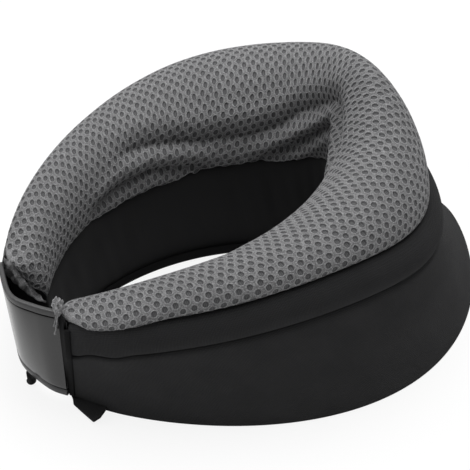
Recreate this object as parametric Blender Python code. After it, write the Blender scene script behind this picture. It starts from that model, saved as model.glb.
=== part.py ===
"""Neck pillow: a foam collar in an air-mesh and knit cover, closed in front by a strap.

Sizes are millimetres, the scene is metres, +Z is up.  The strap crosses the front at -Y, the
tall back rest is at +Y, and the arm that carries the strap's sewn end is the near arm, at +X.
Heights along the arms are given at five even stations, from the arm's tip to the middle of
the back.
"""
import math

import bmesh
import bpy
from mathutils import Matrix, Vector

MM = 0.001
UP = Vector((0, 0, 1))

# Fits
CLEARANCE = 0.3
SEAM_GAP = 0.2

# Neck opening, on the lining
NECK_HALF_WIDTH = 43.5
NECK_FRONT = -112.5
NECK_BACK = 55.5
NECK_PINCH = 1.42
LINING_HEIGHT = (39, 51, 54, 58, 66)

# Mesh roll: how far its outer seam lies outside the lining, and how high it stands over it
ROLL_SIDE = 44.5
ROLL_FRONT = 13.5
ROLL_BACK = 32.0
ROLL_BIAS = 0.23
ROLL_PINCH = 0.86
ROLL_SEAM_HEIGHT = (58, 70, 80, 76, 80)
BACK_RISE = 55.0
ROLL_RISE = (19, 28, 36, 46, BACK_RISE)
ROLL_INNER_BULGE = 4.0
ROLL_OUTER_BULGE = (3.5, 4, 2, 0, 0)
CREASE_PLACES = (0.13, 0.25)
CREASE_REACH = 0.05
CREASE_DEPTH = 2.2

# Knit band under the mesh roll
BAND_SIDE = 3.0
BAND_FRONT = 1.0
BAND_BACK = 7.0
BAND_HEIGHT = (20, 19, 21, 21, 21)
BAND_BULGE = (1.5, 3.5, 4.5, 4.5, 4.5)

# Flared skirt
SKIRT_SIDE = 13.0
SKIRT_FRONT = -4.0
SKIRT_BACK = 40.0
SKIRT_BIAS = 0.13
SKIRT_PINCH = 1.40
SKIRT_SAG = 2.0

# Cover cloth, base and the closed ends of the arms
COVER_THICKNESS = 2.5
BASE_THICKNESS = 2.0
TIP_SPACING = 20.0
TIP_TURN = math.radians(28)
END_PANEL_THICKNESS = 1.2
BINDING_WIDTH = 4.0
BINDING_THICKNESS = 1.4
GATHER_RADIUS = 5.0
GATHER_LENGTH = 6.0
GATHER_PLEATS = 7
TAIL_THICKNESS = 1.6
TAIL_WIDTH = 12.0
TAIL_LENGTH = 21.0

# Strap
STRAP_FOOT = 5.0
STRAP_HEIGHT = 57.5
STRAP_ROOT_INSET = 4.5
STRAP_NOSE_TOP = 14.5
STRAP_NOSE_FOOT = 6.0
STRAP_SHOULDER = 15.0
STRAP_NEAR_DROP_TOP = 8.0
STRAP_NEAR_DROP_FOOT = 3.0
STRAP_FAR_DROP_TOP = 4.0
STRAP_FAR_DROP_FOOT = 0.5
STRAP_BELLY = 2.6
STRAP_EASE = 1.6
STRAP_FACE_THICKNESS = 1.4
STRAP_LINING_THICKNESS = 1.1
EDGING_HEIGHT = 4.0
STRAP_GRIP = 42.0
TONGUE_SHARE = 0.5
TONGUE_MIDDLE = 26.0
PATCH_THICKNESS = 0.7
PATCH_MARGIN = 4.0

# Faceting
STATIONS = 14
ARCH_STEPS = (0, 0.04, 0.085, 0.13, 0.17, 0.21, 0.25, 0.295, 0.36, 0.45, 0.55, 0.66, 0.77, 0.89, 1)
LINING_STEPS = 3
BAND_STEPS = 6
SKIRT_STEPS = 6
ROUTE_STEPS = 6

# Worked out from the sizes above
FOAM_INSET = COVER_THICKNESS + CLEARANCE
COVER_FOOT = BASE_THICKNESS + CLEARANCE
STRAP_THICKNESS = STRAP_FACE_THICKNESS + CLEARANCE + STRAP_LINING_THICKNESS
STRAP_TOP = STRAP_FOOT + STRAP_HEIGHT
LINING_END = LINING_STEPS
ROLL_END = LINING_END + len(ARCH_STEPS) - 1
BAND_END = ROLL_END + BAND_STEPS
SKIRT_END = BAND_END + SKIRT_STEPS
TIP_NORMAL = Vector((-math.sin(TIP_TURN), -math.cos(TIP_TURN), 0))


def along(values, share):
    """Smooth value at a share of the arm, 0 at its tip and 1 at the back, level at the back."""
    last = len(values) - 1
    k = min(int(share * last), last - 1)
    t = share * last - k
    start, end = values[k], values[k + 1]
    before = values[k - 1] if k else 2 * start - end
    after = values[k + 2] if k + 2 <= last else start
    bend = 2 * before - 5 * start + 4 * end - after
    twist = 3 * start - before - 3 * end + after
    return (2 * start + (end - before) * t + bend * t * t + twist * t ** 3) / 2


class PlanLine:
    """One egg-shaped seam line seen from above, cut off at the arm's tip."""

    def __init__(self, half_width, front, back, bias, pinch):
        self.half_width, self.front, self.back = half_width, front, back
        self.bias, self.pinch = bias, pinch
        self.tip = 0.0

    def at_angle(self, angle):
        lean = -math.cos(angle)
        x = self.half_width * max(math.sin(angle), 0) ** self.pinch * math.exp(self.bias * lean)
        y = (self.front + self.back) / 2 + (self.back - self.front) / 2 * lean
        return Vector((x, y, 0))

    def cut(self, measure, level):
        """Start the line where a measure that falls along it comes down to a level."""
        low, high = 0.0, math.pi / 2
        for _ in range(50):
            middle = (low + high) / 2
            if measure(self.at_angle(middle)) > level:
                low = middle
            else:
                high = middle
        self.tip = high

    def at(self, share):
        return self.at_angle(self.tip + (math.pi - self.tip) * share)


def make_lines():
    """The four seam lines, all starting on the flat end face of the arm."""
    lining = PlanLine(NECK_HALF_WIDTH, NECK_FRONT, NECK_BACK, 0.0, NECK_PINCH)
    roll = PlanLine(NECK_HALF_WIDTH + ROLL_SIDE, NECK_FRONT - ROLL_FRONT, NECK_BACK + ROLL_BACK,
                    ROLL_BIAS, ROLL_PINCH)
    band = PlanLine(roll.half_width + BAND_SIDE, roll.front - BAND_FRONT, roll.back + BAND_BACK,
                    ROLL_BIAS, ROLL_PINCH)
    hem = PlanLine(band.half_width + SKIRT_SIDE, band.front - SKIRT_FRONT, band.back + SKIRT_BACK,
                   SKIRT_BIAS, SKIRT_PINCH)
    lining.cut(lambda point: -point.x, -TIP_SPACING / 2)
    level = lining.at(0).dot(TIP_NORMAL)
    for line in (roll, band, hem):
        line.cut(lambda point: point.dot(TIP_NORMAL), level)
    return lining, roll, band, hem


LINING, ROLL, BAND, HEM = make_lines()


def bezier(a, b, c, d, t):
    return a * (1 - t) ** 3 + b * 3 * t * (1 - t) ** 2 + c * 3 * t * t * (1 - t) + d * t ** 3


def contour(share):
    """Outer skin of the near arm at one station: lining, mesh roll, band and skirt, neck to hem."""
    neck_foot = LINING.at(share) + UP * COVER_FOOT
    neck_top = LINING.at(share) + UP * along(LINING_HEIGHT, share)
    seam = ROLL.at(share) + UP * along(ROLL_SEAM_HEIGHT, share)
    valley = BAND.at(share) + UP * (seam.z - along(BAND_HEIGHT, share))
    foot = HEM.at(share) + UP * COVER_FOOT
    out = seam - neck_top
    out.z = 0
    out.normalize()

    crown = neck_top.z + along(ROLL_RISE, share) * 4 / 3
    inner_handle = neck_top + UP * (crown - neck_top.z) - out * ROLL_INNER_BULGE
    outer_handle = seam + UP * (crown - seam.z) + out * along(ROLL_OUTER_BULGE, share)
    points = [neck_foot.lerp(neck_top, k / LINING_STEPS) for k in range(LINING_STEPS)]
    for t in ARCH_STEPS:
        crease = max(max(0, 1 - abs(t - place) / CREASE_REACH) for place in CREASE_PLACES)
        points.append(bezier(neck_top, inner_handle, outer_handle, seam, t)
                      + out * crease * CREASE_DEPTH * min(1, 6 * share))
    for k in range(1, BAND_STEPS + 1):
        t = k / BAND_STEPS
        points.append(seam.lerp(valley, t) + out * along(BAND_BULGE, share) * 4 * t * (1 - t))
    for k in range(1, SKIRT_STEPS + 1):
        t = k / SKIRT_STEPS
        points.append(valley.lerp(foot, t) - out * SKIRT_SAG * 4 * t * (1 - t))
    return points


def mirrored(point):
    return Vector((-point.x, point.y, point.z))


def skin_grid():
    """Outer skin over both arms, from the near tip round the back to the far tip."""
    near = [contour(i / STATIONS) for i in range(STATIONS + 1)]
    far = [[mirrored(point) for point in ring] for ring in reversed(near[:-1])]
    return near + far


def inset_grid(grid, depth):
    """The same grid moved into the pillow, kept flat on the two end faces."""
    last = len(grid) - 1
    ends = {0: TIP_NORMAL, last: mirrored(TIP_NORMAL)}
    moved = []
    for i, ring in enumerate(grid):
        new_ring = []
        for k, point in enumerate(ring):
            forward = grid[min(i + 1, last)][k] - grid[max(i - 1, 0)][k]
            down = ring[min(k + 1, len(ring) - 1)] - ring[max(k - 1, 0)]
            outward = down.cross(forward)
            if i in ends:
                outward -= ends[i] * outward.dot(ends[i])
            if k in (0, len(ring) - 1):
                outward.z = 0
            new_ring.append(point - outward.normalized() * depth)
        moved.append(new_ring)
    return moved


SKIN = skin_grid()
COVER_BACK = inset_grid(SKIN, COVER_THICKNESS)
FOAM_FACE = inset_grid(SKIN, FOAM_INSET)


def pull_back(point, neighbour, distance):
    return point + (neighbour - point).normalized() * distance


def new_material(name, colour, roughness, metallic=0.0):
    material = bpy.data.materials.new(name)
    material.use_nodes = True
    shader = material.node_tree.nodes["Principled BSDF"]
    shader.inputs["Base Color"].default_value = (*colour, 1)
    shader.inputs["Roughness"].default_value = roughness
    shader.inputs["Metallic"].default_value = metallic
    return material


def new_object(name, bm, material, parent=None):
    """Link a finished mesh, given in millimetres, as an object in metres."""
    place = parent.location if parent else Vector()
    bmesh.ops.scale(bm, vec=(MM, MM, MM), verts=bm.verts)
    bmesh.ops.translate(bm, vec=-place, verts=bm.verts)
    bmesh.ops.recalc_face_normals(bm, faces=bm.faces)
    mesh = bpy.data.meshes.new(name)
    bm.to_mesh(mesh)
    bm.free()
    mesh.materials.append(material)
    thing = bpy.data.objects.new(name, mesh)
    thing.parent = parent
    bpy.context.collection.objects.link(thing)
    return thing


def loft(rings, turned=()):
    """Closed solid through rings of points; sides listed in turned use the other diagonal."""
    bm = bmesh.new()
    rows = [[bm.verts.new(point) for point in ring] for ring in rings]
    count = len(rows[0])
    for one, two in zip(rows, rows[1:]):
        for j in range(count):
            after = (j + 1) % count
            a, b, c, d = one[j], one[after], two[after], two[j]
            if j in turned:
                a, b, c, d = b, c, d, a
            bm.faces.new((a, b, c))
            bm.faces.new((a, c, d))
    bm.faces.new(rows[0])
    bm.faces.new(rows[-1])
    return bm


def cover(first, last):
    """A strip of cover cloth between two seams of the skin."""
    rings = []
    for outer, inner in zip(SKIN, COVER_BACK):
        edge = []
        for row in (outer, inner):
            strip = list(row[first:last + 1])
            strip[0] = pull_back(row[first], row[first + 1], SEAM_GAP)
            strip[-1] = pull_back(row[last], row[last - 1], SEAM_GAP)
            edge.append(strip)
        rings.append(edge[0] + edge[1][::-1])
    width = last - first + 1
    return loft(rings, turned=range(width, 2 * width))


def roll_foam():
    rings = [ring[LINING_END:ROLL_END + 1] for ring in FOAM_FACE]
    return loft(rings, turned=(len(rings[0]) - 1,))


def base_foam():
    """Foam under the mesh roll, from the lining out to the band and the skirt."""
    rings = []
    for ring in FOAM_FACE:
        low = list(ring[:LINING_END + 1]) + list(ring[ROLL_END:])
        for k in (LINING_END, LINING_END + 1):
            low[k] = low[k] - UP * CLEARANCE
        rings.append(low)
    return loft(rings)


def base_panel():
    rings = []
    for ring in SKIN:
        inner, outer = ring[0].copy(), ring[-1].copy()
        corners = []
        for point, height in ((inner, 0), (outer, 0), (outer, BASE_THICKNESS), (inner, BASE_THICKNESS)):
            corners.append(Vector((point.x, point.y, height)))
        rings.append(corners)
    return loft(rings)


def end_panel(flip):
    """Flat cloth panel that closes the end of an arm."""
    rings = []
    for distance in (CLEARANCE, CLEARANCE + END_PANEL_THICKNESS):
        ring = [point + TIP_NORMAL * distance for point in COVER_BACK[0]]
        rings.append([flip(point) for point in ring])
    return loft(rings)


def plain(point):
    return point


def skin_outward(i, k):
    """Unit normal of the skin in plan, from the inset of the foam."""
    out = SKIN[i][k] - FOAM_FACE[i][k]
    out.z = 0
    return out.normalized()


def end_binding(flip):
    """Bound edge down the outer corner of an arm's end, from the mesh seam to the hem."""
    rings = []
    for k in range(ROLL_END + 1, SKIRT_END):
        corner, inboard = SKIN[0][k], SKIN[1][k]
        run = inboard - corner
        run.z = 0
        run.normalize()
        out = Vector((run.y, -run.x, 0))
        near_side = corner - run * (CLEARANCE + END_PANEL_THICKNESS) + out * CLEARANCE
        ring = []
        for across, proud in ((0, 0), (1, 0), (1, 0.5), (0.7, 1), (0.3, 1), (0, 0.5)):
            spot = near_side + run * BINDING_WIDTH * across + out * BINDING_THICKNESS * proud
            ring.append(flip(spot))
        rings.append(ring)
    return loft(rings)


def mesh_gather(flip):
    """Pleated knot that draws the mesh together at the top of an arm's end."""
    middle = (SKIN[0][LINING_END] + SKIN[0][ROLL_END]) / 2
    middle.z = SKIN[0][ROLL_END].z + GATHER_RADIUS / 4
    start = middle + TIP_NORMAL * (2 * CLEARANCE + END_PANEL_THICKNESS)
    side = UP.cross(TIP_NORMAL)
    rings = []
    for distance, swell in ((0, 1), (0.45, 0.62), (0.7, 0.8), (1, 0.45)):
        ring = []
        for step in range(2 * GATHER_PLEATS):
            angle = math.pi * step / GATHER_PLEATS
            reach = GATHER_RADIUS * swell * (1 if step % 2 else 0.78)
            spot = start + TIP_NORMAL * GATHER_LENGTH * distance
            ring.append(flip(spot + side * reach * math.cos(angle) + UP * reach * math.sin(angle)))
        rings.append(ring)
    return loft(rings)


def hem_tail(corners):
    """Pointed end of the hem tape, lying just over the ground."""
    rings = []
    for height in (CLEARANCE, CLEARANCE + TAIL_THICKNESS):
        rings.append([Vector((corner.x, corner.y, height)) for corner in corners])
    return loft(rings)


def near_tail():
    foot, inboard = SKIN[0][SKIRT_END], SKIN[2][SKIRT_END]
    run = inboard - foot
    run.z = 0
    run.normalize()
    out = Vector((run.y, -run.x, 0))
    root = foot + out * CLEARANCE
    side = root + run * TAIL_WIDTH * 0.25 + out * TAIL_WIDTH * 0.4
    tip = root + run * TAIL_LENGTH * 0.81 + out * TAIL_LENGTH * 0.6
    toe = tip + run * TAIL_WIDTH * 0.2 - out * TAIL_WIDTH * 0.26
    heel = root + run * TAIL_LENGTH * 0.94 + out * TAIL_WIDTH * 0.13
    return hem_tail([root, side, tip, toe, heel])


def far_tail():
    foot = mirrored(SKIN[0][SKIRT_END])
    ahead = mirrored(TIP_NORMAL)
    across = Vector((-ahead.y, ahead.x, 0))
    root = foot + ahead * (2 * CLEARANCE + END_PANEL_THICKNESS) + across * 4
    side = TAIL_WIDTH / 2
    tip = root + across * TAIL_LENGTH * 0.55 + ahead * TAIL_LENGTH * 0.8
    return hem_tail([root, root + across * side, tip + across * 2, tip - across * 3, root + ahead * 4])


def arm_side(line, share):
    """Plan point of a seam line of the near arm and its outward normal there."""
    step = 0.01
    run = (line.at(share + step) - line.at(share)).normalized()
    return line.at(share), Vector((run.y, -run.x, 0))


def arm_share(distance):
    """Share of the arm at a distance along its mesh seam from the tip."""
    step = 0.002
    share, travelled = 0.0, 0.0
    while travelled < distance:
        travelled += (ROLL.at(share + step) - ROLL.at(share)).length
        share += step
    return share


STRAP_SEAT = STRAP_THICKNESS / 2 + max(3 * CLEARANCE + 2 * PATCH_THICKNESS, 2 * CLEARANCE + BINDING_THICKNESS)
ROOT_STANDOFF = 2 * CLEARANCE + END_PANEL_THICKNESS + STRAP_THICKNESS / 2
END_FACE_INWARD = Vector((TIP_NORMAL.y, -TIP_NORMAL.x, 0))
STRAP_ROOT = ROLL.at(0) + TIP_NORMAL * ROOT_STANDOFF + END_FACE_INWARD * STRAP_ROOT_INSET


def strap_route(nose_reach, near_drop, far_drop, line, bulges):
    """Middle line of the strap in plan, from its sewn root round the front to the far arm.

    On the far arm it keeps its seat outside the bulges of one of the seam lines.
    """
    nose = Vector((0, STRAP_ROOT.y - nose_reach, 0))
    near_shoulder = nose + Vector((STRAP_SHOULDER, near_drop, 0))
    far_shoulder = nose + Vector((-STRAP_SHOULDER, far_drop, 0))
    knots = [STRAP_ROOT, near_shoulder, nose, far_shoulder]
    for distance in (0, STRAP_GRIP / 2, STRAP_GRIP):
        share = arm_share(distance)
        seam, out = arm_side(line, share)
        knots.append(mirrored(seam + out * (STRAP_SEAT + along(bulges, share) + STRAP_EASE)))
    points = []
    for k in range(len(knots) - 1):
        start, end = knots[k], knots[k + 1]
        before = knots[k - 1] if k else start
        after = knots[k + 2] if k + 2 < len(knots) else end
        for step in range(ROUTE_STEPS):
            t = step / ROUTE_STEPS
            lead = start + (end - before) / 6
            trail = end - (after - start) / 6
            points.append(bezier(start, lead, trail, end, t))
    return points + [knots[-1]]


TOP_ROUTE = strap_route(STRAP_NOSE_TOP, STRAP_NEAR_DROP_TOP, STRAP_FAR_DROP_TOP, BAND, BAND_BULGE)
FOOT_ROUTE = strap_route(STRAP_NOSE_FOOT, STRAP_NEAR_DROP_FOOT, STRAP_FAR_DROP_FOOT, HEM,
                         (STRAP_BELLY, STRAP_BELLY))
ROUTE_END = len(TOP_ROUTE) - 1


def route_length(first, last):
    return sum((TOP_ROUTE[k + 1] - TOP_ROUTE[k]).length for k in range(first, last))


def tongue(k):
    """Share of the strap's height that is left where it narrows to a tongue on the far arm."""
    start, end = 3.1 * ROUTE_STEPS, 4.7 * ROUTE_STEPS
    t = min(1, max(0, (k - start) / (end - start)))
    return 1 - (1 - TONGUE_SHARE) * t * t * (3 - 2 * t)


def strap_point(k, height, offset):
    """Point of the strap at a height, offset outward from its leaning middle surface."""
    height = TONGUE_MIDDLE + (height - TONGUE_MIDDLE) * tongue(k)
    share = (height - STRAP_FOOT) / STRAP_HEIGHT
    before, after = max(k - 1, 0), min(k + 1, ROUTE_END)
    here, start, end = (FOOT_ROUTE[j].lerp(TOP_ROUTE[j], share) for j in (k, before, after))
    run = end - start
    outward = Vector((-run.y, run.x, 0)).normalized()
    return here + outward * offset + UP * height


def strip(inner, outer, foot, top, first=0, last=ROUTE_END):
    """Strip along the strap between two heights and two offsets from its middle surface."""
    corners = ((foot, inner), (foot, outer), (top, outer), (top, inner))
    rings = []
    for k in range(first, last + 1):
        rings.append([strap_point(k, height, offset) for height, offset in corners])
    return loft(rings, turned=(3,))


def patch_span():
    """Route points where the hook and loop patches start, past the far binding, and end."""
    corner = ROUTE_END - 2 * ROUTE_STEPS
    first, end = corner, ROUTE_END
    while route_length(corner, first) < BINDING_WIDTH + PATCH_MARGIN:
        first += 1
    while route_length(end, ROUTE_END) < PATCH_MARGIN:
        end -= 1
    return first, end


def build():
    for thing in list(bpy.data.objects):
        bpy.data.objects.remove(thing, do_unlink=True)

    mesh_cloth = new_material("grey_air_mesh", (0.145, 0.145, 0.148), 0.85)
    knit = new_material("black_knit", (0.014, 0.014, 0.015), 0.8)
    band_knit = new_material("black_band_knit", (0.017, 0.017, 0.018), 0.8)
    lining = new_material("black_lining", (0.009, 0.009, 0.01), 0.7)
    base_cloth = new_material("black_base_cloth", (0.012, 0.012, 0.012), 0.85)
    foam = new_material("foam", (0.75, 0.72, 0.62), 0.9)
    leather = new_material("black_leather_look", (0.012, 0.012, 0.013), 0.35)
    tape = new_material("black_tape", (0.01, 0.01, 0.011), 0.6)
    hooks = new_material("black_hook_tape", (0.01, 0.01, 0.01), 0.7)

    new_object("mesh_cover", cover(LINING_END, ROLL_END), mesh_cloth)
    new_object("roll_foam", roll_foam(), foam)
    new_object("band_cover", cover(ROLL_END, BAND_END), band_knit)
    new_object("skirt_cover", cover(BAND_END, SKIRT_END), knit)
    new_object("base_foam", base_foam(), foam)
    new_object("inner_lining", cover(0, LINING_END), lining)
    new_object("base_panel", base_panel(), base_cloth)
    for side, flip in (("near", plain), ("far", mirrored)):
        new_object(side + "_end_panel", end_panel(flip), knit)
        new_object(side + "_end_binding", end_binding(flip), tape)
        new_object(side + "_mesh_gather", mesh_gather(flip), mesh_cloth)
    new_object("near_hem_tail", near_tail(), tape)
    new_object("far_hem_tail", far_tail(), tape)

    hinge = bpy.data.objects.new("strap_hinge", None)
    hinge.location = STRAP_ROOT * MM
    bpy.context.collection.objects.link(hinge)
    half = STRAP_THICKNESS / 2
    face_foot = STRAP_FOOT + EDGING_HEIGHT + CLEARANCE
    face_top = STRAP_TOP - EDGING_HEIGHT - CLEARANCE
    first, last = patch_span()
    back = -half + STRAP_LINING_THICKNESS
    new_object("strap_face", strip(back + CLEARANCE, half, face_foot, face_top), leather, hinge)
    new_object("strap_lining", strip(-half, back, face_foot, face_top), lining, hinge)
    for name, foot in (("strap_upper_edging", STRAP_TOP - EDGING_HEIGHT), ("strap_lower_edging", STRAP_FOOT)):
        new_object(name, strip(-half, half, foot, foot + EDGING_HEIGHT), leather, hinge)
    hook_face = -half - CLEARANCE
    loop_face = hook_face - PATCH_THICKNESS - CLEARANCE
    for name, face, parent in (("hook_patch", hook_face, hinge), ("loop_patch", loop_face, None)):
        patch = strip(face - PATCH_THICKNESS, face, face_foot, face_top, first, last)
        new_object(name, patch, hooks, parent)


build()
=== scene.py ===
"""Look of the travel neck pillow: air-mesh roll, black knit body and leather-look strap.

Lengths are millimetres until a piece is finished, when it is scaled to metres.  Seam lines and
heights repeat the part's own sizes, so each piece lies on the solid that it dresses.  The near
arm, at +X, carries the sewn end of the strap; columns run from its tip round the back to the
tip of the far arm, and rows run up from the hem, over the roll, and down to the lining's foot.
"""
import math

import bmesh
import bpy
from mathutils import Matrix, Vector, noise


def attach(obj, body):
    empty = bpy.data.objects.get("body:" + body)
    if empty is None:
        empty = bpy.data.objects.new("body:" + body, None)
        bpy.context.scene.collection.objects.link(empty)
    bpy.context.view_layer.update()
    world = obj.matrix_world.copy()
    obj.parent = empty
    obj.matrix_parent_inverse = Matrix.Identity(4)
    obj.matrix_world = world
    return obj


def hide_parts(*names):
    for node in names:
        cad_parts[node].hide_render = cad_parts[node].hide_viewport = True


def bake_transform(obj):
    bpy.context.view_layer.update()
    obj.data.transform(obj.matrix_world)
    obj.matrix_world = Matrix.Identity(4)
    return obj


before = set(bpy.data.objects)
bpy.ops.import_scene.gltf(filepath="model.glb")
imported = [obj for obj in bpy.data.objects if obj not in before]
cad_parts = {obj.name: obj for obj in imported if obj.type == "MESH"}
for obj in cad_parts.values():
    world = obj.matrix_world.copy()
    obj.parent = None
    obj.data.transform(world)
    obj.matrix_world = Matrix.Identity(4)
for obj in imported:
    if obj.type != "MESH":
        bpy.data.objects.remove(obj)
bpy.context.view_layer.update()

MM = 0.001
UP = Vector((0, 0, 1))

# Seam lines in plan: half width, front, back, bias, pinch
NECK_LINE = (43.5, -112.5, 55.5, 0.0, 1.42)
ROLL_LINE = (88.0, -126.0, 87.5, 0.23, 0.86)
BAND_LINE = (91.0, -127.0, 94.5, 0.23, 0.86)
HEM_LINE = (104.0, -123.0, 134.5, 0.13, 1.40)
TIP_SPACING = 20.0
TIP_TURN = math.radians(28)
TIP_NORMAL = Vector((-math.sin(TIP_TURN), -math.cos(TIP_TURN), 0))

# Heights and bulges at five even stations, from the tip to the middle of the back
LINING_HEIGHT = (39, 51, 54, 58, 66)
ROLL_SEAM_HEIGHT = (58, 70, 80, 76, 80)
ROLL_RISE = (19, 28, 36, 46, 55)
ROLL_INNER_BULGE = 4.0
ROLL_OUTER_BULGE = (3.5, 4, 2, 0, 0)
BAND_HEIGHT = (20, 19, 21, 21, 21)
BAND_BULGE = (1.5, 3.5, 4.5, 4.5, 4.5)
SKIRT_SAG = 2.0
COVER_FOOT = 0.4
HEM_SPREAD = 1.2

# Sewing of the soft body
COLUMNS = 120
SKIRT_ROWS, BAND_ROWS, ROLL_ROWS, LINING_ROWS = 12, 8, 30, 6
SKIRT_TOP = SKIRT_ROWS
BAND_TOP = SKIRT_TOP + BAND_ROWS
ROLL_INNER = BAND_TOP + ROLL_ROWS
LINING_FOOT = ROLL_INNER + LINING_ROWS
ARCH_STEPS, CROWN_STEPS = 90, 240
RIPPLE_DEPTH, RIPPLE_RATE, RIPPLE_START = 1.2, 60, 1.5
BACK_REACH, BACK_FADE = 14, 5
BACK_PASSES = (9, 34)
SWELL_FRAMES = 20
SWELL_PRESSURE = 4
SWELL_LIMIT = 1.2
SEAM_TUCK, TUCK_FADE = 2.0, 1.5
INNER_TUCK, INNER_FADE = 0.8, 1.8
LINING_TOP_TUCK, LINING_FOOT_TUCK, LINING_CREASE = 0.4, 1.2, 0.45

# Flat sizes of the cloths, as their weave is laid, and the place of the base cloth
SKIRT_SIZE = (662, 75)
BAND_SIZE = (580, 22)
LINING_SIZE = (381, 55)
BASE_SIZE = (520, 60)
# The base cloth starts a little inside the lining's foot: that dark strip is painted shadow on the floor
# in the neck opening.
BASE_PAINTED_SHADOW_INSET, BASE_REACH = 0.07, 1.055
BASE_HEIGHT = 0.3

# Air mesh
HOLE_PITCH = 4.9
HOLE_ROW = 3.8
STRAND_HALF = 0.85
STRAND_RISE = 0.28
HOLE_DEPTH = 0.42
HOLE_WALL = 0.3
HOLE_SHAPE = (0.82, 1.12)
CROWN_HOLE_SHAPE = (0.62, 1.34)
CROWN_MIDDLE, CROWN_WIDTH = 0.55, 0.16
SHUT_REACH, SHUT_OVER, SHUT_RING = 0.6, -0.28, 0.45
END_ROUND = 6.5
END_PROUD = 4.0
END_CORNER = 0.16
SAG_TOP, SAG_FADE = 0.45, 0.3
SAG_DROP, SAG_OUT = 2.4, 2.2
FAR_SAG_DROP, FAR_SAG_OUT = 6.0, 2.6
FAR_TIP_TUCK = 3.2
SLIT_ENDS = (0.34, 0.72)
SLIT_LIFT = (4.9, 2.0)
FLAP_DROP = 10.5
FLAP_SPAN = (0.48, 0.96)

# Cells by their share of a full one: from, up to, and how far their thread and hole are scaled
CELL_SIZES = ((0.8, 2.0, 1.0), (0.5, 0.8, 0.62), (0.3, 0.5, 0.35))
SCRAP_SHARE = 0.06
RAGGED_EDGE, RAGGED_DEPTH = 0.6, 2.6

# Folds on the inner wall of the roll: depth, width, then shares of the arm with heights over the lining
FOLDS = (
    (3.4, 3.2, ((0.34, 26), (0.44, 24), (0.56, 17.5), (0.68, 16), (0.76, 21), (0.82, 28), (1.0, 36))),
    (5.2, 2.2, ((0.66, 0), (0.72, 3), (0.79, 8), (0.86, 13), (1.0, 22))),
    (4.6, 2.2, ((0.24, 4), (0.28, 5.5), (0.36, 9), (0.44, 10), (0.55, 4), (0.62, 0))),
)
FOLD_FADE = 0.08

# Ends of the arms: tuft and threads as end_place takes them, tails by their inner and outer edge
PANEL_PUFF, PANEL_LIFT = 1.1, 6.0
BINDING_WIDE, BINDING_PROUD, BINDING_LIFT = 1.6, 0.8, 0.3
TUFT_FOOT, TUFT_TOP = (3.2, 3.4, 62.6), (9.0, 3.6, 64.6)
TUFT_FOOT_RADIUS, TUFT_TOP_RADIUS = 1.7, 2.6
LONG_THREAD = ((2.6, 4.0, 61.5), (2.6, 5.6, 49.5))
SHORT_THREAD = ((3.4, 4.6, 61.0), (3.8, 5.9, 53.5))
LONG_THREAD_RADIUS, SHORT_THREAD_RADIUS = 0.42, 0.36
NEAR_TAIL = (((0, 0.3), (10, 0.9), (19.7, 1.9)), ((3, 5.1), (17, 12.9), (19.4, 9.8)))
FAR_TAIL = (((4, 2), (10.5, 18), (15.0, 22.6)), ((10, 2), (14.5, 14), (18.0, 21.4)))
NEAR_TAIL_LIFT, FAR_TAIL_LIFT = 0.6, 0.4
TAIL_SIZE = (22, 12)
TAIL_HEIGHT, TAIL_WAVE = 1.8, 0.35
KNOB_RADIUS, KNOB_HALF, KNOB_HEIGHT = 2.3, 1.2, 1.7

# Strap
STRAP_FOOT = 5.0
STRAP_HEIGHT = 57.5
STRAP_TOP = STRAP_FOOT + STRAP_HEIGHT
STRAP_ROOT_TOP, STRAP_ROOT_FOOT = (4.5, 3.2), (7.4, 1.6)
STRAP_BENDS_TOP = ((15.0, -126.6), (1.8, -132.5), (-17.5, -127.4))
STRAP_BENDS_FOOT = ((14.6, -121.1), (-4.3, -124.3), (-17.2, -121.6))
STRAP_CORNER_TOP, STRAP_CORNER_FOOT = 2.6, 3.6
STRAP_SEAT, STRAP_EASE, STRAP_BELLY = 3.7, 0.4, 2.6
STRAP_HALF = 1.4
STRAP_GRIP = 42.0
TONGUE_SHARE = 0.5
TONGUE_MIDDLE = 26.0
TONGUE_START, TONGUE_FADE = 3.1, 1.6
EDGING_HEIGHT = 4.0
FACE_GAP, BACK_LAP, BACK_GAP = 0.6, 0.5, 0.15
TAB_INSET, TAB_SLOPE = 0.4, 3.0
TAPE_INSET = 4.3
TAPE_SPAN = (0.75, 0.965)
HOOK_BACK, HOOK_FACE = 1.0, 0.3
LOOP_BACK, LOOP_FACE = 2.0, 1.3
SHEET_ROUNDING, RIM_ROUNDING, TAPE_ROUNDING = 0.28, 0.5, 0.25
ROUTE_STEPS = 12

# Camera and light, in metres and watts
CAMERA_PLACE = Vector((0.652466, -0.420581, 0.675685))
CAMERA_AIM = Vector((-0.00071, -0.0035, 0.04024))
CAMERA_LENS, CAMERA_SENSOR = 149.7, 36
LIGHT_AIM = (0, 0, 0.05)
WORLD_LIGHT = 0.22
FLOOR_GLOW = 0.86


def smooth(t):
    """Ease from 0 to 1, held at both ends."""
    t = min(1, max(0, t))
    return t * t * (3 - 2 * t)


def along(values, share):
    """Smooth value at a share of the arm, 0 at its tip and 1 at the back, level at the back."""
    last = len(values) - 1
    k = min(int(share * last), last - 1)
    t = share * last - k
    start, end = values[k], values[k + 1]
    before = values[k - 1] if k else 2 * start - end
    after = values[k + 2] if k + 2 <= last else start
    bend = 2 * before - 5 * start + 4 * end - after
    twist = 3 * start - before - 3 * end + after
    return (2 * start + (end - before) * t + bend * t * t + twist * t ** 3) / 2


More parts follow.
